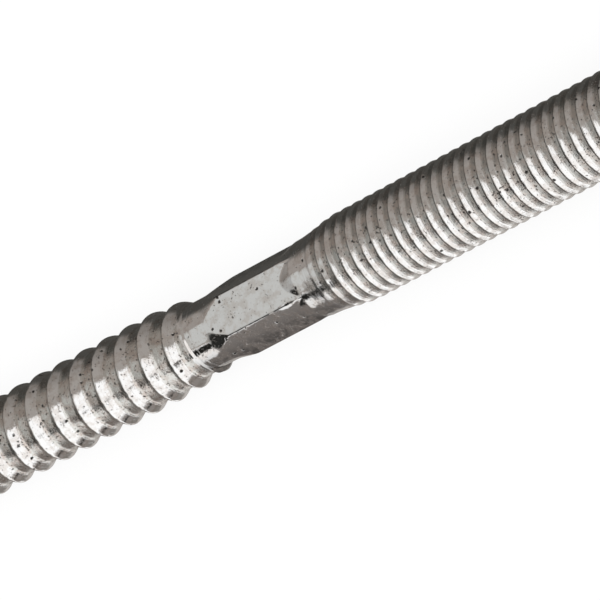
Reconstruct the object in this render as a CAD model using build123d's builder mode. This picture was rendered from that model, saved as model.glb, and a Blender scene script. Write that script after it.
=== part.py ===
from build123d import *
from math import ceil, cos, radians, sqrt
import os

# One-piece adjusting screw: a coarse round thread at one end, a pressed spanner
# hexagon behind a short neck, and the plain blank of a finer thread at the other end.
# It lies along X on the plane Z = 0, with the fine end towards +X and the origin
# under the middle of its length. Sizes are in millimetres and degrees.

# Lengths along the screw, from the coarse tip to the fine tip.
coarse_length = 51.8      # coarse thread, tip to neck
neck_length = 1.7         # plain neck
rise_length = 4.5         # swell from the neck to the shank
hexagon_length = 12.0     # shank under the flats, up to the collar
collar_length = 1.0       # round shank beside the flats
lead_length = 7.4         # cone from the collar to the fine thread
fine_length = 63.6        # fine thread at its full diameter, to the tip

# Coarse left-hand round thread.
coarse_diameter = 11.5
coarse_pitch = 4.0
coarse_depth = 0.76
coarse_start_angle = 8    # turn of the ridge at the tip, from straight up
coarse_fade = 4.3         # length over which the last ridge sinks to the neck
coarse_chamfer = 1.4
sections_per_turn = 5     # circles that guide each turn of the ridge

# Fine left-hand thread, held here as the plain cylinder over its crests.
fine_diameter = 11.8
fine_chamfer = 1.1

# Neck, shank and spanner flats.
neck_diameter = 8.9
shank_diameter = 10.5
across_flats = 9.0
flat_count = 6
flat_runout = 2.6         # length over which a flat ramps up to the collar

# Everything below follows from the sizes above.
total_length = (
    coarse_length + neck_length + rise_length + hexagon_length
    + collar_length + lead_length + fine_length
)
coarse_radius = coarse_diameter / 2
fine_radius = fine_diameter / 2
neck_radius = neck_diameter / 2
shank_radius = shank_diameter / 2
flat_height = across_flats / 2
corner_radius = flat_height / cos(radians(180 / flat_count))
axis_height = max(coarse_radius, fine_radius)
screw_axis = Axis((0, 0, axis_height), (1, 0, 0))

coarse_tip = -total_length / 2
neck_start = coarse_tip + coarse_length
rise_start = neck_start + neck_length
hexagon_start = rise_start + rise_length
collar_start = hexagon_start + hexagon_length
lead_start = collar_start + collar_length
fine_start = lead_start + lead_length
fine_tip = fine_start + fine_length

# Profiles are drawn as distance along the screw and distance from its axis.
profile_plane = Plane(origin=(0, 0, axis_height), x_dir=(1, 0, 0), z_dir=(0, -1, 0))


def across_plane(station):
    """Plane square to the screw at a distance along it, with local X pointing up."""
    return Plane(origin=(station, 0, axis_height), x_dir=(0, 0, 1), z_dir=(1, 0, 0))


# A single-start round thread cut square to its axis is a circle set off the axis by
# half the thread's depth. The circle goes once round for each pitch. Towards the neck
# its crest and valley sink together along a quarter ellipse, and at the tip they meet
# a bevel.
section_count = ceil(coarse_length / coarse_pitch * sections_per_turn)

with BuildPart() as coarse_thread:
    for section in range(section_count + 1):
        along = coarse_length * section / section_count
        turned = coarse_start_angle - 360 * along / coarse_pitch
        to_fade = min((coarse_length - along) / coarse_fade, 1)
        fade_radius = neck_radius + (coarse_radius - neck_radius) * sqrt(1 - (1 - to_fade) ** 2)
        limit = min(fade_radius, coarse_radius - coarse_chamfer + along)
        crest_radius = min(coarse_radius, limit)
        valley_radius = min(coarse_radius - coarse_depth, limit)
        ridge_offset = (crest_radius - valley_radius) / 2
        centre = Vector(ridge_offset, 0).rotate(Axis.Z, turned)
        with BuildSketch(across_plane(coarse_tip + along)):
            with BuildLine():
                # Two half circles, so that the ridge is two open faces.
                CenterArc(centre, crest_radius - ridge_offset, 0, 180)
                CenterArc(centre, crest_radius - ridge_offset, 180, 180)
            make_face()
    loft()

# What the press takes off the round bar to leave six flats. It stops at a ramp, so that
# each flat rises to the collar in an arched end with a point at every corner.
with BuildPart() as pressed_away:
    with BuildSketch(across_plane(rise_start)):
        Circle(shank_diameter)
        RegularPolygon(
            flat_height,
            flat_count,
            major_radius=False,
            rotation=180 / flat_count,
            mode=Mode.SUBTRACT,
        )
    extrude(amount=collar_start - rise_start)
    with BuildSketch(profile_plane):
        with BuildLine():
            Polyline(
                (collar_start - flat_runout, 0),
                (collar_start - flat_runout, flat_height),
                (collar_start, corner_radius),
                (collar_start, 0),
                close=True,
            )
        make_face()
    revolve(axis=screw_axis, mode=Mode.SUBTRACT)

with BuildPart() as adjusting_screw:
    # Neck, swell, shank, lead cone and fine-thread blank are one turned form.
    with BuildSketch(profile_plane):
        with BuildLine():
            Polyline(
                (rise_start, neck_radius),
                (neck_start, neck_radius),
                (neck_start, 0),
                (fine_tip, 0),
                (fine_tip, fine_radius - fine_chamfer),
                (fine_tip - fine_chamfer, fine_radius),
                (fine_start, fine_radius),
            )
            Spline(
                (fine_start, fine_radius),
                (lead_start, shank_radius),
                tangents=((-1, 0), (-1, 0)),
            )
            Line((lead_start, shank_radius), (hexagon_start, shank_radius))
            Spline(
                (hexagon_start, shank_radius),
                (rise_start, neck_radius),
                tangents=((-1, 0), (-1, 0)),
            )
        make_face()
    revolve(axis=screw_axis)
    add(pressed_away.part, mode=Mode.SUBTRACT)
    add(coarse_thread.part)

adjusting_screw.part.label = "adjusting_screw"
os.makedirs("parts", exist_ok=True)
export_step(adjusting_screw.part, "parts/adjusting_screw.step")
print("length", round(total_length, 2), "volume", round(adjusting_screw.part.volume, 1))
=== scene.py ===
from math import cos, pi, radians, sin

import bpy
import numpy as np
from mathutils import Matrix, Vector


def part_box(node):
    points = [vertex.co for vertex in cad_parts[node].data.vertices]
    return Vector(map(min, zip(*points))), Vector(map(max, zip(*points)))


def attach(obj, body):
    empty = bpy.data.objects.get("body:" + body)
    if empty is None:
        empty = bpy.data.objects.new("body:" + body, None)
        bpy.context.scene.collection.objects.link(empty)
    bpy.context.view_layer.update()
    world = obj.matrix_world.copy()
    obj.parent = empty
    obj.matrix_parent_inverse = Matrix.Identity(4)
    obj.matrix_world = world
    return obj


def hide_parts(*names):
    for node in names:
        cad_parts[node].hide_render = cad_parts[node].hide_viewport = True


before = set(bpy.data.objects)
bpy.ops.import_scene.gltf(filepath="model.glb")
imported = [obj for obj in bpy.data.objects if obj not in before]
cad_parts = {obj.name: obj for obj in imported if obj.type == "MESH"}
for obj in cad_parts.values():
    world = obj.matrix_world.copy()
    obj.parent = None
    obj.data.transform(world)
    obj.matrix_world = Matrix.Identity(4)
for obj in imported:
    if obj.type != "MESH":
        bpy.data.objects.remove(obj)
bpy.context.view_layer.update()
scene = bpy.context.scene
scene.view_settings.view_transform = 'Standard'

mm = 0.001
lowCorner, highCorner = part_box("adjusting_screw")
tipX = lowCorner.x / mm
endX = highCorner.x / mm
axisZ = (lowCorner.z + highCorner.z) / 2 / mm
print("frame loaded, screw length", round(endX - tipX, 2), "mm")

# Sizes of the screw in millimetres, measured from the coarse tip unless said otherwise.
screw = {
    "coarseLength": 51.8,
    "neckLength": 1.7,
    "riseLength": 4.5,
    "hexagonLength": 12.0,
    "collarLength": 1.0,
    "coarseRadius": 5.75,
    "coarseDepth": 0.76,
    "coarsePitch": 4.0,
    "coarseStart": 8.0,         # degrees from straight up, at the tip
    "coarseShape": [            # share of a pitch from the crest, share of the depth
        (0, 1), (0.04, 0.96), (0.08, 0.86), (0.32, 0.20), (0.36, 0.10), (0.40, 0.03),
        (0.44, 0), (0.78, 0), (0.85, 0.12), (0.91, 0.47), (0.96, 0.88), (1, 1)],
    "coarseSink": (7.5, 1.8),   # before the neck, where the last ridge sinks
    "sinkDepth": 0.40,
    "coarseEnd": 1.05,          # before the neck, where the last ridge stops
    "coarseFade": 0.5,          # length of its rounded end
    "coarseChamfer": 1.4,
    "neckRadius": 4.45,
    "shankRadius": 5.1,
    "shankBulge": 0.14,         # where the press has pushed the bar out under the flats
    "bulgeStart": (-1.5, 0.5),  # from the start of the shank
    "bulgeStop": -0.4,          # from the collar
    "flatHeight": 4.5,
    "flatCount": 6,
    "flatRunout": 2.6,          # ramp from each flat up to the collar
    "edgeBlend": 0.05,          # how soft the edge of a ramp is
    "cornerBlend": 0.03,        # and the corners between the flats
    "leadRise": (-1.0, 6.0),    # swell to the fine thread, from the collar's end
    "fineRadius": 5.9,
    "fineDepth": 0.17,
    "finePitch": 1.75,
    "fineStart": 0.0,           # degrees of turn at the collar end of the lead
    "fineSlope": 0.625,         # share of a pitch over which the crest falls to the valley
    "fineSag": 0.72,            # how hollow that slope is: 0 is straight, 1 ends level
    "fineFlank": 0.125,         # share of a pitch over which the next crest rises
    "fineOnset": 0.5,           # where the grooves begin on the lead, from the collar
    "fineGrow": 3.5,            # length over which they reach full depth
    "fineChamfer": 1.1,
    "dents": [                  # knocks that flatten a corner: place, turn, length, depth
        (67.2, 33.0, 1.5, 0.20),
        (60.5, 32.0, 2.6, 0.04),
    ],
    "dentBlend": 0.09,          # how soft the edge of a knock is
}

neckX = tipX + screw["coarseLength"]
riseX = neckX + screw["neckLength"]
shankX = riseX + screw["riseLength"]
collarX = shankX + screw["hexagonLength"]
leadX = collarX + screw["collarLength"]
cornerRadius = screw["flatHeight"] / cos(pi / screw["flatCount"])


def smoothStep(low, high, value):
    # 3t^2 - 2t^3, where t is the share of the way from low to high
    t = np.clip((value - low) / (high - low), 0, 1)
    return t * t * (3 - 2 * t)


def softLeast(a, b, width):
    # the lesser of two heights, with the crease between them rounded over the width: half
    # of their sum less the root of their squared difference and the squared width
    return 0.5 * (a + b - np.sqrt((a - b) ** 2 + width ** 2))


def ridgeTurns(x, turn, pitch, start):
    # turns of a left-hand ridge: a crest lies at every whole number
    return turn / (2 * pi) + x / pitch - start / 360


def coarseTurns(x, turn):
    # turns of the coarse ridge, which starts at the tip
    return ridgeTurns(x - tipX, turn, screw["coarsePitch"], screw["coarseStart"])


def fineTurns(x, turn):
    # turns of the fine ridge, which starts behind the collar
    return ridgeTurns(x - leadX, turn, screw["finePitch"], screw["fineStart"])


def coarseHeight(x, turn):
    # valley plus depth times the shape, sinking towards the neck and held under a
    # quarter ellipse there and a bevel at the tip
    p = screw
    crest, depth = p["coarseRadius"], p["coarseDepth"]
    share, level = zip(*p["coarseShape"])
    wave = np.interp(coarseTurns(x, turn) % 1, share, level)
    sunk = p["sinkDepth"] * smoothStep(neckX - p["coarseSink"][0], neckX - p["coarseSink"][1], x)
    ridge = crest - depth + depth * wave - sunk
    toFade = np.clip((neckX - p["coarseEnd"] - x) / p["coarseFade"], 0, 1)
    fade = p["neckRadius"] + (crest - p["neckRadius"]) * np.sqrt(1 - (1 - toFade) ** 2)
    bevel = crest - p["coarseChamfer"] + (x - tipX)
    return np.minimum(np.minimum(ridge, fade), bevel)


def barHeight(x):
    # the round bar: the neck plus a smooth step for the swell to the shank, one for the
    # swell to the fine thread, and one up and one down for the bulge under the flats
    p = screw
    rise = (p["shankRadius"] - p["neckRadius"]) * smoothStep(riseX, shankX, x)
    start, stop = p["leadRise"]
    lead = (p["fineRadius"] - p["shankRadius"]) * smoothStep(leadX + start, leadX + stop, x)
    start, stop = p["bulgeStart"]
    bulge = p["shankBulge"] * smoothStep(shankX + start, shankX + stop, x)
    bulge = bulge * smoothStep(collarX + p["bulgeStop"], collarX - p["flatRunout"], x)
    return p["neckRadius"] + rise + lead + bulge


def bodyHeight(x, turn):
    # the bar with its flats: planes, so their height is flatHeight over the cosine of the
    # turn from the middle of the flat, and next to a corner the lesser of two of them;
    # the cut rises by a straight ramp to the collar, and past it is lifted off the bar
    p = screw
    body = barHeight(x)
    step = 2 * pi / p["flatCount"]
    fromMiddle = np.abs((turn + step / 2) % step - step / 2)
    flat = softLeast(p["flatHeight"] / np.cos(fromMiddle),
                     p["flatHeight"] / np.cos(step - fromMiddle), p["cornerBlend"])
    for place, angle, length, depth in p["dents"]:
        # another plane, which rises out of the corner away from the place as a square
        away = np.abs((turn - radians(angle) + pi) % (2 * pi) - pi)
        knock = cornerRadius - depth * (1 - ((x - tipX - place) / length) ** 2)
        knock = np.where(away < step, knock / np.cos(np.minimum(away, step)), 2 * cornerRadius)
        flat = softLeast(flat, knock, p["dentBlend"] * (np.abs(x - tipX - place) < 2 * length))
    runoutX = collarX - p["flatRunout"]
    ramp = p["flatHeight"] + (cornerRadius - p["flatHeight"]) * (x - runoutX) / p["flatRunout"]
    pressed = -softLeast(-flat, -ramp, p["edgeBlend"])
    pressed = pressed + (x > collarX) * 2 * p["shankRadius"]
    return softLeast(body, pressed, p["edgeBlend"])


def fineHeight(x, turn):
    # the crests follow the bar up to the full radius while the grooves deepen; with t the
    # share of the slope, a groove falls as (1 - t)(1 - sag t) and rises by a straight flank
    p = screw
    depth = p["fineDepth"] * smoothStep(0, p["fineGrow"], x - leadX - p["fineOnset"])
    share = fineTurns(x, turn) % 1
    t = np.minimum(share / p["fineSlope"], 1)
    slope = (1 - t) * (1 - p["fineSag"] * t)
    flank = np.maximum(1 - (1 - share) / p["fineFlank"], 0)
    ridge = barHeight(x) - depth * (1 - slope - flank)
    bevel = p["fineRadius"] - p["fineChamfer"] + (endX - x)
    return np.minimum(ridge, bevel)


def screwHeight(x, turn):
    # height over the axis at a distance x along the screw and a turn from straight up
    height = np.where(x < neckX, coarseHeight(x, turn), bodyHeight(x, turn))
    return np.where(x > leadX, fineHeight(x, turn), height)


# How finely the surface is divided. Distances are in millimetres.
meshPlan = {
    "columns": 64,           # round each thread
    "bodyFactor": 3,         # times as many round the neck and the flats
    "coarseSteps": 25,       # rows for each coarse pitch
    "fineSteps": 16,         # and for each of the fine pitch
    "endEase": 1.0,          # length over which the rows at an end come off the ridge
    "tieShift": 0.005,       # in steps, so that points halfway between two all go one way
    "shortRow": 0.3,         # a last row closer than this share of a step is left out
    "bodySpacing": 0.14,     # between the rows of the neck and the flats
    "bodyStart": 3.2,        # before the neck
    "bodyStop": 1.75,        # after the collar
    "crowding": 0.7,         # how much closer the points are at the flats' corners
    "crowdStart": (-1.5, 1.0),   # from the end of the neck
    "crowdStop": (0.0, 1.5),     # from the collar
    "capRings": 8,
}


def followRidge(x, turn, turnsOf, pitch, steps):
    # moves points along the screw by up to half a row, so that rows lie along the ridge
    # at whole steps of its pitch; the rows at both ends stay where they are
    step = turnsOf(x, turn) * steps
    whole = np.round(step + meshPlan["tieShift"])
    first, last, reach = x.min(), x.max(), meshPlan["endEase"]
    ease = smoothStep(first, first + reach, x) * smoothStep(last, last - reach, x)
    return x + (whole - step) * pitch / steps * ease


def ring(x, turns):
    # points round the axis: -height sin(turn) across and height cos(turn) up
    height = screwHeight(x, turns)
    return np.stack([x, -height * np.sin(turns), axisZ + height * np.cos(turns)], -1)


def threadRows(start, stop, columns, turnsOf, pitch, steps):
    # a grid with even steps of the pitch along the screw and a last row at the stop
    turn = np.arange(columns) * 2 * pi / columns
    spacing = pitch / steps
    rows = np.append(np.arange(start, stop - meshPlan["shortRow"] * spacing, spacing), stop)
    x, turns = np.meshgrid(rows, turn, indexing="ij")
    return ring(followRidge(x, turns, turnsOf, pitch, steps), turns)


def bodyRows(start, stop, columns):
    # a grid with even rows, whose columns crowd towards the corners of the flats by a
    # sine of the turn that is 0 at each corner and in the middle of each flat
    plan, count = meshPlan, screw["flatCount"]
    rows = np.linspace(start, stop, round((stop - start) / plan["bodySpacing"]) + 1)[1:-1]
    x, turns = np.meshgrid(rows, np.arange(columns) * 2 * pi / columns, indexing="ij")
    (begin, full), (hold, end) = plan["crowdStart"], plan["crowdStop"]
    crowding = plan["crowding"] * np.minimum(
        smoothStep(riseX + begin, riseX + full, x), smoothStep(collarX + end, collarX + hold, x))
    return ring(x, turns + crowding * np.sin(count * turns) / count)


def cap(x, columns):
    # rings that shrink evenly to the axis at an end face, from the outside in
    share = np.linspace(1, 0, meshPlan["capRings"] + 1)[1:-1]
    turn = np.arange(columns) * 2 * pi / columns
    rim = ring(np.full(columns, float(x)), turn)
    middle = np.array([x, 0, axisZ])
    return middle + share[:, None, None] * (rim - middle)[None]


def stripFaces(first, rows, columns):
    # quads between each row and the next, wound so that they face away from the axis and
    # start at the corner from which their diagonal runs along the ridge
    row = first + np.arange(rows - 1)[:, None] * columns
    col = np.arange(columns)[None, :]
    nxt = (col + 1) % columns
    quads = np.stack([row + columns + col, row + col, row + nxt, row + columns + nxt], -1)
    return quads.reshape(-1, 4)


def screwGrids():
    # grids of points laid end to end: a cap with the coarse thread, the body with more
    # points round it, and the fine thread with the other cap
    p, plan = screw, meshPlan
    columns, bodyColumns = plan["columns"], plan["columns"] * plan["bodyFactor"]
    start, stop = neckX - plan["bodyStart"], leadX + plan["bodyStop"]
    coarse = threadRows(tipX, start, columns, coarseTurns, p["coarsePitch"], plan["coarseSteps"])
    fine = threadRows(stop, endX, columns, fineTurns, p["finePitch"], plan["fineSteps"])
    front = np.concatenate([cap(tipX, columns)[::-1], coarse])
    back = np.concatenate([fine, cap(endX, columns)])
    return front, bodyRows(start, stop, bodyColumns), back


def joinFaces(wide, fine, columns, factor):
    # between a row of wide steps and a row with factor times as many: each face takes one
    # wide edge and the fine ones beside it
    k = np.arange(columns)
    beside = (k[:, None] * factor + np.arange(factor + 1)[None, :]) % (columns * factor)
    return np.concatenate([
        (wide + k)[:, None], fine + beside, (wide + (k + 1) % columns)[:, None]], 1)


def poleFaces(ringAt, pole, columns):
    # triangles from each edge of a ring to the point in its middle
    k = np.arange(columns)
    return np.stack([np.full(columns, pole), ringAt + k, ringAt + (k + 1) % columns], -1)


def buildScrew():
    # the grids with a point in the middle of each end face, joined to a closed surface;
    # joins before the body are made the other way round, so their faces are reversed
    plan = meshPlan
    columns, factor = plan["columns"], plan["bodyFactor"]
    front, body, back = screwGrids()
    startPole = np.array([[tipX, 0, axisZ]])
    endPole = np.array([[endX, 0, axisZ]])
    points = np.concatenate([
        startPole, front.reshape(-1, 3), body.reshape(-1, 3), back.reshape(-1, 3), endPole])
    bodyAt = 1 + len(front) * columns
    backAt = bodyAt + len(body) * columns * factor
    endAt = len(points) - 1
    groups = [
        stripFaces(1, len(front), columns),
        stripFaces(bodyAt, len(body), columns * factor),
        stripFaces(backAt, len(back), columns),
        joinFaces(bodyAt - columns, bodyAt, columns, factor)[:, ::-1],
        joinFaces(backAt, backAt - columns * factor, columns, factor),
        poleFaces(1, 0, columns)[:, ::-1],
        poleFaces(endAt - columns, endAt, columns),
    ]
    faces = [face for group in groups for face in group.tolist()]

    mesh = bpy.data.meshes.new("screwSurface")
    mesh.from_pydata((points * mm).tolist(), [], faces)
    mesh.validate()
    mesh.shade_smooth()
    turn = np.arctan2(-points[:, 1], points[:, 2] - axisZ)
    markWear(mesh, points[:, 0], turn)
    unwrap(mesh, points)
    piece = bpy.data.objects.new("threadedScrew", mesh)
    scene.collection.objects.link(piece)
    return piece


# Where the screw is rubbed bright, where shade is painted into its grooves and along a corner,
# and where it is darker on the underside. Bands and grooves are shares of a pitch from the
# crest towards the fine end, and edges and sizes are in millimetres.
wearAndShade = {
    "coarseBand": (0.0, 0.34),
    "coarseReach": (2.4, 1.2),     # before the neck, where it is still whole and where gone
    # a dark line of painted shade on the steep flank before each coarse crest
    "coarseShade": (0.88, 0.98),
    "coarseEdge": (-0.1, 0.2),     # from no painted shade to full, inwards
    "fineBand": (0.0, 0.42),
    "fineReach": (3.0, 1.2),       # after the collar, where it is whole and where not begun
    # a dark line of painted shade on the straight flank before each fine crest
    "fineShade": (0.86, 0.98),
    "fineEdge": (-0.05, 0.12),
    "fineFlankShade": (0.50, 0.86),      # flank of the fine groove, with less painted shade
    "flankShadeShare": 0.28,
    "bodyBand": 0.30,              # how far inside a band the body counts as being
    "bodyDirt": (0.09, 0.50),      # darker on the underside of the body, next to a corner and lowest
    "underRise": (0.98, 1.05),     # turns at which they set in: 1 is the first corner from
    "lowestRise": (1.2, 2.8),      # the top of the screw, 3 the next one
    "cornerShade": 0.9,             # painted dark reflection along that first corner
    "cornerLine": (1.012, 0.035),  # its place, measured the same way, and its width
    "cornerStart": -1.0,           # from the start of the shank
    "streakWidth": 0.22,           # across the rubbed bands
    "streakLength": 2.2,
    "scatterSize": 2.5,            # of the scuffs on the body, which has no ridge
}


def insideShare(turns, limits, pitch):
    # millimetres inside the band between two shares of a pitch, below 0 outside it
    middle, half = (limits[0] + limits[1]) / 2, (limits[1] - limits[0]) / 2
    return (half - np.abs((turns - middle + 0.5) % 1 - 0.5)) * pitch


def softShare(turns, limits, pitch, edge):
    # 1 inside the band and 0 outside it, by a smooth step across its edge
    return smoothStep(edge[0], edge[1], insideShare(turns, limits, pitch))


def zones(x):
    # shares by which a point belongs to the coarse thread, the fine thread and the body
    w = wearAndShade
    onCoarse = smoothStep(neckX - w["coarseReach"][1], neckX - w["coarseReach"][0], x)
    onFine = smoothStep(leadX + w["fineReach"][1], leadX + w["fineReach"][0], x)
    return onCoarse, onFine, 1 - onCoarse - onFine


def rubbedBand(x, turn):
    # distance inside the band of each thread, and a fixed one on the body
    p, w = screw, wearAndShade
    onCoarse, onFine, onBody = zones(x)
    return (onCoarse * insideShare(coarseTurns(x, turn), w["coarseBand"], p["coarsePitch"])
            + onFine * insideShare(fineTurns(x, turn), w["fineBand"], p["finePitch"])
            + onBody * w["bodyBand"])


def grooveDirt(x, turn):
    # painted shade in the grooves of both threads, and a share of it on the flank of the fine
    # one
    p, w = screw, wearAndShade
    onCoarse, onFine, onBody = zones(x)
    coarse, fine = coarseTurns(x, turn), fineTurns(x, turn)
    darkening = (onCoarse * softShare(coarse, w["coarseShade"], p["coarsePitch"], w["coarseEdge"])
            + onFine * softShare(fine, w["fineShade"], p["finePitch"], w["fineEdge"]))
    flank = onFine * softShare(fine, w["fineFlankShade"], p["finePitch"], w["fineEdge"])
    return np.maximum(darkening, flank * w["flankShadeShare"])


def bodyDirt(x, turn):
    # darker under the body by two smooth steps of the turn, and a painted dark reflection along
    # its first corners by a bell curve
    w = wearAndShade
    onBody = zones(x)[2]
    side = np.abs(turn) / (pi / screw["flatCount"])
    under, lowest = w["bodyDirt"]
    below = under * smoothStep(*w["underRise"], side)
    below = below + (lowest - under) * smoothStep(*w["lowestRise"], side)
    # the painted dark reflection runs along the corner from the shank's start to the ramps
    onCorner = (x > shankX + w["cornerStart"]) & (x < collarX - screw["flatRunout"])
    line, width = w["cornerLine"]
    return onBody * below + w["cornerShade"] * onCorner * np.exp(-((side - line) / width) ** 2)


def streakPlace(x, turn):
    # a place in which streaks follow the ridge: a circle for the position across it and
    # the distance along x; between the threads the plain place, in a coarser measure
    p, w = screw, wearAndShade
    onCoarse = x < neckX
    pitch = np.where(onCoarse, p["coarsePitch"], p["finePitch"])
    phase = 2 * pi * np.where(onCoarse, coarseTurns(x, turn), fineTurns(x, turn))
    around = pitch / (2 * pi * w["streakWidth"])
    onward = 2 * pi * p["shankRadius"] / pitch / w["streakLength"]
    streak = np.stack([around * np.cos(phase), around * np.sin(phase), onward * x], -1)
    height = screwHeight(x, turn)
    plain = np.stack([x, height * np.cos(turn), height * np.sin(turn)], -1) / w["scatterSize"]
    return np.where(((x > neckX) & (x < leadX))[:, None], plain, streak)


def markWear(mesh, x, turn):
    # one value, or one place, for each point of the mesh, which the plating reads
    for name, kind, slot, values in (
            ("band", 'FLOAT', "value", rubbedBand(x, turn)),
            # painted shade in the grooves and along a corner, and darker on the underside
            ("darkening", 'FLOAT', "value", grooveDirt(x, turn) + bodyDirt(x, turn)),
            ("streak", 'FLOAT_VECTOR', "vector", streakPlace(x, turn))):
        layer = mesh.attributes.new(name, kind, 'POINT')
        layer.data.foreach_set(slot, np.ascontiguousarray(values, np.float32).ravel())


# Places on the sheet of the UV map, as shares of its side.
sheet = {
    "stripWidth": 0.82,          # half of the screw's length
    "stripHeight": 0.44,         # once round it
    "stripStep": 0.5,
    "margins": (0.01, 0.02),
    "spareLength": 2.0,          # in mm, for the ragged end of a strip
    "discPlace": 0.92,
    "discLevels": (0.25, 0.75),
    "flatness": 1e-6,            # in mm, by which an end face is told
}


def unwrap(mesh, points):
    # the screw rolled out flat in two strips, x along and the turn up, with each end face
    # as a disc beside them; a face across the seam has its low turns moved on by one
    s = sheet
    corners = np.zeros(len(mesh.loops), np.int32)
    mesh.loops.foreach_get("vertex_index", corners)
    starts = np.zeros(len(mesh.polygons), np.int32)
    mesh.polygons.foreach_get("loop_start", starts)
    face = np.repeat(np.arange(len(starts)), np.diff(np.append(starts, len(corners))))
    x, y, z = points[corners].T
    z = z - axisZ
    turn = np.arctan2(-y, z) % (2 * pi)
    high = np.maximum.reduceat(turn, starts)[face]
    low = np.minimum.reduceat(turn, starts)[face]
    turn = np.where((high - low > pi) & (turn < pi), turn + 2 * pi, turn)
    middle = (tipX + endX) / 2
    second = np.minimum.reduceat(x, starts)[face] >= middle
    scale = s["stripWidth"] / (middle - tipX + s["spareLength"])
    u = s["margins"][0] + (x - np.where(second, middle, tipX)) * scale
    v = s["margins"][1] + s["stripStep"] * second + turn / (2 * pi) * s["stripHeight"]
    for place, level in zip((tipX, endX), s["discLevels"]):
        flatEnd = np.maximum.reduceat(np.abs(x - place), starts)[face] < s["flatness"]
        u = np.where(flatEnd, s["discPlace"] + y * scale, u)
        v = np.where(flatEnd, level + z * scale, v)
    layer = mesh.uv_layers.new(name="OFBake")
    layer.data.foreach_set("uv", np.stack([u, v], -1).astype(np.float32).ravel())


# Finish of the plating. Sizes, distances and depths are in millimetres, and ranges are
# values of a noise, from none to all of the effect.
plating = {
    "bright": (0.69, 0.685, 0.68, 1),
    "worn": (0.62, 0.595, 0.575, 1),     # patches of the rubbed metal
    "grey": (0.56, 0.555, 0.53, 1),
    "brown": (0.47, 0.42, 0.385, 1),
    # near black, for the pits and specks and for the painted shade
    "sootAndShade": (0.035, 0.032, 0.03, 1),
    "mottleSize": 1.1,
    "brownRange": (0.36, 0.66),
    "wornRange": (0.42, 0.60),
    "darkeningRange": (0.40, 0.60),
    "darkeningShare": (1.35, 0.45),   # how much of the darkening stays, where mottling is low and high
    "grainSize": 0.22,
    "edgeWander": 0.55,          # how ragged the edge of a rubbed band is
    "edgeRange": (-0.06, 0.10),  # distance inside the band
    "scuffRange": (0.54, 0.68),
    "scuffShare": 0.2,           # how much less a scuffed streak is rubbed
    "patchRange": (0.5, 0.7),
    "patchShare": 0.8,           # how rubbed the least rubbed patches still are
    "brightRough": 0.07,
    "dullRough": 0.12,
    "roughSpread": 0.05,
    "streakDepth": 0.006,
    "grainDepth": 0.032,
    "grainFade": 0.93,           # share of the grain that rubbing takes off
    "mottleDepth": 0.020,
    "wanderSize": 0.3,
    "wanderShift": 0.35,         # how far the outlines of pits and specks wander
    "speckSize": 0.30,
    "speckLevel": 0.618,         # a lower level gives more and larger specks
    "speckEdge": 0.05,
    "speckCrowd": 0.25,          # how much they crowd where the mottling is high
    "speckRubbed": 0.05,         # and keep away from rubbed metal
    "pitSpacing": 1.2,
    "pitRadius": 0.26,
    "pitCore": 0.45,             # share of the radius that is fully dark
    "pitShare": 0.28,            # share of the cells that have a pit
    "pitDepth": 0.06,
}


def addNode(tree, kind, settings=None, **inputs):
    # a node with its inputs linked or set: by name, or by number as s0, s1 and so on
    node = tree.nodes.new(kind)
    for name, value in (settings or {}).items():
        setattr(node, name, value)
    for name, value in inputs.items():
        socket = node.inputs[int(name[1:])] if name[1:].isdigit() else node.inputs[name]
        if isinstance(value, bpy.types.NodeSocket):
            tree.links.new(value, socket)
        else:
            socket.default_value = value
    return node


def mixColour(tree, share, first, second):
    # first + share (second - first)
    return addNode(tree, "ShaderNodeMix", {"data_type": 'RGBA'},
                   s0=share, s6=first, s7=second).outputs[2]


def mathNode(tree, operation, *values):
    # MULTIPLY_ADD gives the first value times the second plus the third
    inputs = {"s" + str(at): value for at, value in enumerate(values)}
    return addNode(tree, "ShaderNodeMath", {"operation": operation}, **inputs).outputs[0]


def remap(tree, value, low, high, toLow=0.0, toHigh=1.0):
    # a smooth step from toLow at low to toHigh at high
    return addNode(tree, "ShaderNodeMapRange", {"interpolation_type": 'SMOOTHSTEP'},
                   s0=value, s1=low, s2=high, s3=toLow, s4=toHigh).outputs[0]


def noise(tree, place, size, detail=3.0, roughness=0.6):
    # cloudy noise around 0.5, whose octaves halve in size
    return addNode(tree, "ShaderNodeTexNoise", Vector=place, Scale=1 / size,
                   Detail=detail, Roughness=roughness).outputs["Fac"]


def readWear(tree, name, output="Fac"):
    # what markWear has put on the mesh under the name
    return addNode(tree, "ShaderNodeAttribute", {"attribute_name": name}).outputs[output]


def aroundHalf(tree, value, share, base):
    # base + share (value - 0.5), for a noise
    return mathNode(tree, 'MULTIPLY_ADD', mathNode(tree, 'SUBTRACT', value, 0.5), share, base)


def rubbedShare(tree, grain, mottle, streak):
    # 1 where the band is deep enough for its ragged edge, less in streaks and patches
    p = plating
    ragged = aroundHalf(tree, grain, p["edgeWander"], readWear(tree, "band"))
    rubbed = remap(tree, ragged, *p["edgeRange"])
    scuffed = remap(tree, streak, *p["scuffRange"])
    kept = mathNode(tree, 'MULTIPLY_ADD', scuffed, -p["scuffShare"], 1.0)
    rubbed = mathNode(tree, 'MULTIPLY', rubbed, kept)
    patches = remap(tree, mottle, *p["patchRange"], 1.0, p["patchShare"])
    return mathNode(tree, 'MULTIPLY', rubbed, patches)


def pitMask(tree, place):
    # 1 in the middle of the picked cells of a cell pattern, 0 outside the radius
    p = plating
    cells = addNode(tree, "ShaderNodeTexVoronoi", Vector=place, Scale=1 / (p["pitSpacing"] * mm))
    pick = addNode(tree, "ShaderNodeSeparateColor", s0=cells.outputs["Color"]).outputs[0]
    radius = p["pitRadius"] / p["pitSpacing"]
    core = remap(tree, cells.outputs["Distance"], radius * p["pitCore"], radius, 1.0, 0.0)
    return mathNode(tree, 'MULTIPLY', core, mathNode(tree, 'LESS_THAN', pick, p["pitShare"]))


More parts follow.
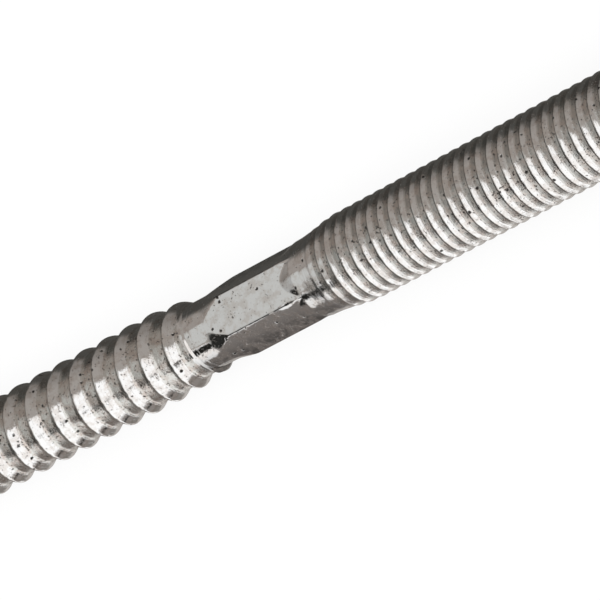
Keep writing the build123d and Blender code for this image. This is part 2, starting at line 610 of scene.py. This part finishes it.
def darkSpots(tree, place, mottle, rubbed):
    # the greater of pits and specks; both have ragged outlines, because their place is
    # shifted by a noise, and specks are where a finer noise is over its level
    p = plating
    wander = addNode(tree, "ShaderNodeTexNoise", Vector=place,
                     Scale=1 / (p["wanderSize"] * mm)).outputs["Color"]
    shifted = addNode(tree, "ShaderNodeMix", {"data_type": 'VECTOR'}, s0=p["wanderShift"] * mm,
                      s4=place, s5=wander).outputs[1]
    specks = noise(tree, shifted, p["speckSize"] * mm, 2.0)
    specks = aroundHalf(tree, mottle, p["speckCrowd"], specks)
    specks = mathNode(tree, 'MULTIPLY_ADD', rubbed, -p["speckRubbed"], specks)
    specks = remap(tree, specks, p["speckLevel"], p["speckLevel"] + p["speckEdge"])
    return mathNode(tree, 'MAXIMUM', pitMask(tree, shifted), specks)


def bumps(tree, layers):
    # each layer of height and depth lies on the one before it; a depth below 0 goes inwards
    normal = None
    for height, depth in layers:
        bump = addNode(tree, "ShaderNodeBump", {"invert": depth < 0}, Height=height,
                       Distance=abs(depth) * mm)
        if normal:
            tree.links.new(normal, bump.inputs["Normal"])
        normal = bump.outputs[0]
    return normal


def platingMaterial():
    # grey and brown metal mixed by the mottling, brighter and smoother by the share that
    # is rubbed, darker by the painted shade in the grooves and along a corner and towards the
    # underside, and darker by the pits and the specks
    p = plating
    material = bpy.data.materials.new("plated steel")
    material.use_nodes = True
    tree = material.node_tree
    shader = tree.nodes["Principled BSDF"]
    shader.inputs["Metallic"].default_value = 1
    place = addNode(tree, "ShaderNodeTexCoord").outputs["Object"]
    grain = noise(tree, place, p["grainSize"] * mm, 4.0)
    mottle = noise(tree, place, p["mottleSize"] * mm, 4.0)
    streak = noise(tree, readWear(tree, "streak", "Vector"), 1.0)
    rubbed = rubbedShare(tree, grain, mottle, streak)
    spots = darkSpots(tree, place, mottle, rubbed)

    dull = mixColour(tree, remap(tree, mottle, *p["brownRange"]), p["grey"], p["brown"])
    polished = mixColour(tree, remap(tree, mottle, *p["wornRange"]), p["bright"], p["worn"])
    metal = mixColour(tree, rubbed, dull, polished)
    # painted shade in the grooves and along a corner, with the underside darker, kept less where
    # the mottling is high
    stays = remap(tree, mottle, *p["darkeningRange"], *p["darkeningShare"])
    darkening = mathNode(tree, 'MULTIPLY', readWear(tree, "darkening"), stays)
    metal = mixColour(tree, darkening, metal, p["sootAndShade"])
    metal = mixColour(tree, spots, metal, p["sootAndShade"])
    tree.links.new(metal, shader.inputs["Base Color"])

    rough = remap(tree, rubbed, 0.0, 1.0, p["dullRough"], p["brightRough"])
    rough = aroundHalf(tree, grain, p["roughSpread"] * 2, rough)
    tree.links.new(rough, shader.inputs["Roughness"])

    # the grain fades out where the metal is rubbed
    fade = mathNode(tree, 'MULTIPLY_ADD', rubbed, -p["grainFade"], 1.0)
    grain = mathNode(tree, 'MULTIPLY', grain, fade)
    normal = bumps(tree, ((grain, p["grainDepth"]), (streak, p["streakDepth"]),
                          (mottle, p["mottleDepth"]), (spots, -p["pitDepth"])))
    tree.links.new(normal, shader.inputs["Normal"])
    return material


screwPiece = buildScrew()
screwPiece.data.materials.append(platingMaterial())
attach(screwPiece, "root")
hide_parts("adjusting_screw")
print("screw made,", len(screwPiece.data.polygons), "faces")

# The camera looks across the screw from its near side, with the fine end closer.
# Lengths are in millimetres.
cameraView = {
    "along": 34.0,          # degrees by which the screw comes towards the camera
    "above": 74.3,          # degrees over the floor, seen along the screw
    "roll": 27.85,          # degrees by which the screw climbs across the picture
    "distance": 619.6,
    "lens": 300.0,
    "lookX": -5.0,          # place along the screw that the middle of the picture shows
    "drop": 1.54,           # how far under the axis the middle of the picture lies
    "clip": (10.0, 20000.0),
}


def buildCamera():
    # its axes are back, away from the screw by the two tilts, and right and up, turned
    # by the roll from the direction in which the screw climbs and the one below it
    v = cameraView
    tilt, height, roll = radians(v["along"]), radians(v["above"]), radians(v["roll"])
    back = Vector((sin(tilt), -cos(tilt) * cos(height), cos(tilt) * sin(height)))
    below = Vector((0, -sin(height), -cos(height)))
    climb = back.cross(below)
    right = climb * cos(roll) + below * sin(roll)
    up = climb * sin(roll) - below * cos(roll)
    target = Vector((v["lookX"], 0, axisZ)) + below * v["drop"]
    camera = bpy.data.objects.new("camera", bpy.data.cameras.new("camera"))
    camera.data.lens = v["lens"]
    camera.data.clip_start, camera.data.clip_end = (reach * mm for reach in v["clip"])
    camera.matrix_world = (
        Matrix.Translation((target + back * v["distance"]) * mm)
        @ Matrix((right, up, back)).transposed().to_4x4())
    scene.collection.objects.link(camera)
    scene.camera = camera


buildCamera()
print("camera placed")

# Sizes and places in metres, power in watts.
studio = {
    "floorSize": 6.0,
    "floorColour": (0.9, 0.9, 0.9, 1),
    "floorWhite": 0.86,      # share of plain white that the camera sees on the floor
    "lampPower": 3.0,
    "lampSize": 0.6,
    "lampPlace": (-0.25, -0.35, 0.6),
}
plainWhite = (1, 1, 1, 1)


def buildFloor():
    # one square on Z = 0, matt but for the share of white that only the camera sees
    s = studio
    half = s["floorSize"] / 2
    mesh = bpy.data.meshes.new("floor")
    corners = [(-half, -half, 0), (half, -half, 0), (half, half, 0), (-half, half, 0)]
    mesh.from_pydata(corners, [], [(0, 1, 2, 3)])
    floor = bpy.data.objects.new("floor", mesh)
    scene.collection.objects.link(floor)
    floor.visible_glossy = False
    material = bpy.data.materials.new("pale floor")
    material.use_nodes = True
    tree = material.node_tree
    tree.nodes.clear()
    matt = addNode(tree, "ShaderNodeBsdfDiffuse", Color=s["floorColour"]).outputs[0]
    white = addNode(tree, "ShaderNodeEmission", Color=plainWhite, Strength=1.0).outputs[0]
    seen = addNode(tree, "ShaderNodeLightPath").outputs["Is Camera Ray"]
    share = mathNode(tree, 'MULTIPLY', seen, s["floorWhite"])
    mixed = addNode(tree, "ShaderNodeMixShader", s0=share, s1=matt, s2=white).outputs[0]
    addNode(tree, "ShaderNodeOutputMaterial", Surface=mixed)
    mesh.materials.append(material)


# What the metal mirrors, as soft round patches over the sphere of directions: azimuth
# from +X, elevation, inner and outer degrees, colour. Later ones lie on top.
surround = {
    "base": (0.31, 0.285, 0.265),
    "patches": [
        (0, 90, 25, 75, (0.48, 0.446, 0.415)),     # ceiling
        (133, 36, 14, 26, (0.44, 0.40, 0.37)),     # and its far side
        (160, -5, 14, 26, (0.42, 0.39, 0.36)),     # wall behind the coarse end
        (-30, 25, 30, 44, (0.19, 0.18, 0.17)),     # wall beyond the fine end
        (116, -24, 26, 44, (0.09, 0.087, 0.08)),   # shade on the far side
        (-130, -62, 20, 36, (0.60, 0.57, 0.54)),   # light off the floor on the near side
        (-74, 66, 24, 27, (1.40, 1.40, 1.40)),     # glow over the softbox
        (-105, 12, 40, 43, (1.45, 1.45, 1.45)),    # softbox on the near side
        (-105, -32, 34, 38, (1.45, 1.45, 1.45)),   # and its lower half
        (-60, -50, 34, 41, (0.34, 0.31, 0.29)),    # floor in front of the softbox
        (-95, -66, 16, 20, (0.30, 0.28, 0.26)),    # and under it
        (-94, -31, 3, 5, (0.03, 0.03, 0.03)),      # foot of the softbox stand
        (-50, 50, 12, 15, (1.40, 1.40, 1.40)),     # end of the glow
        (-168, 8, 30, 36, (0.34, 0.33, 0.31)),     # grey wall beyond the coarse end
        (-152, -16, 29, 33, (0.28, 0.255, 0.24)),  # and its browner foot
        (180, -14, 20, 28, (0.62, 0.60, 0.58)),    # pale floor beyond the coarse end
        (-163, 24, 10, 13, (0.03, 0.03, 0.028)),   # dark gap under the pale ceiling,
        (-149, 14, 13, 15, (0.03, 0.03, 0.028)),   # in three parts
        (-132, 31, 8, 10, (0.02, 0.02, 0.018)),
        (-125, 6, 9, 12, (1.30, 1.30, 1.30)),      # lit slot beside the dark gap
        (174, 30, 10, 13, (0.55, 0.55, 0.54)),     # edge of the pale ceiling
        (172, 51, 14, 16, (0.74, 0.745, 0.73)),    # pale ceiling beyond the coarse end,
        (-154, 50, 9, 11, (0.74, 0.745, 0.73)),    # in two parts
    ],
}


def buildWorld():
    # each patch covers those below it by a smooth step of the cosine of the angle between
    # the ray and its middle; only mirrored rays see the patches, all others plain white
    world = bpy.data.worlds.new("soft studio")
    world.use_nodes = True
    scene.world = world
    tree = world.node_tree
    tree.nodes.clear()
    ray = addNode(tree, "ShaderNodeTexCoord").outputs["Generated"]
    colour = surround["base"] + (1,)
    for azimuth, elevation, inner, outer, tint in surround["patches"]:
        flat, turn = cos(radians(elevation)), radians(azimuth)
        centre = (flat * cos(turn), flat * sin(turn), sin(radians(elevation)))
        near = addNode(tree, "ShaderNodeVectorMath", {"operation": 'DOT_PRODUCT'},
                       s0=ray, s1=centre).outputs["Value"]
        share = remap(tree, near, cos(radians(outer)), cos(radians(inner)))
        colour = mixColour(tree, share, colour, tint + (1,))
    mirrored = addNode(tree, "ShaderNodeBackground", Color=colour, Strength=1.0).outputs[0]
    plain = addNode(tree, "ShaderNodeBackground", Color=plainWhite, Strength=1.0).outputs[0]
    glossy = addNode(tree, "ShaderNodeLightPath").outputs["Is Glossy Ray"]
    mixed = addNode(tree, "ShaderNodeMixShader", s0=glossy, s1=plain, s2=mirrored).outputs[0]
    addNode(tree, "ShaderNodeOutputWorld", Surface=mixed)


def buildLamp():
    # a square lamp that faces the origin and is not itself mirrored
    s = studio
    data = bpy.data.lights.new("softbox", 'AREA')
    data.energy = s["lampPower"]
    data.size = s["lampSize"]
    lamp = bpy.data.objects.new("softbox", data)
    lamp.location = s["lampPlace"]
    lamp.rotation_euler = (-Vector(s["lampPlace"])).to_track_quat('-Z', 'Y').to_euler()
    lamp.visible_glossy = False
    scene.collection.objects.link(lamp)


buildFloor()
buildWorld()
buildLamp()
print("studio ready")
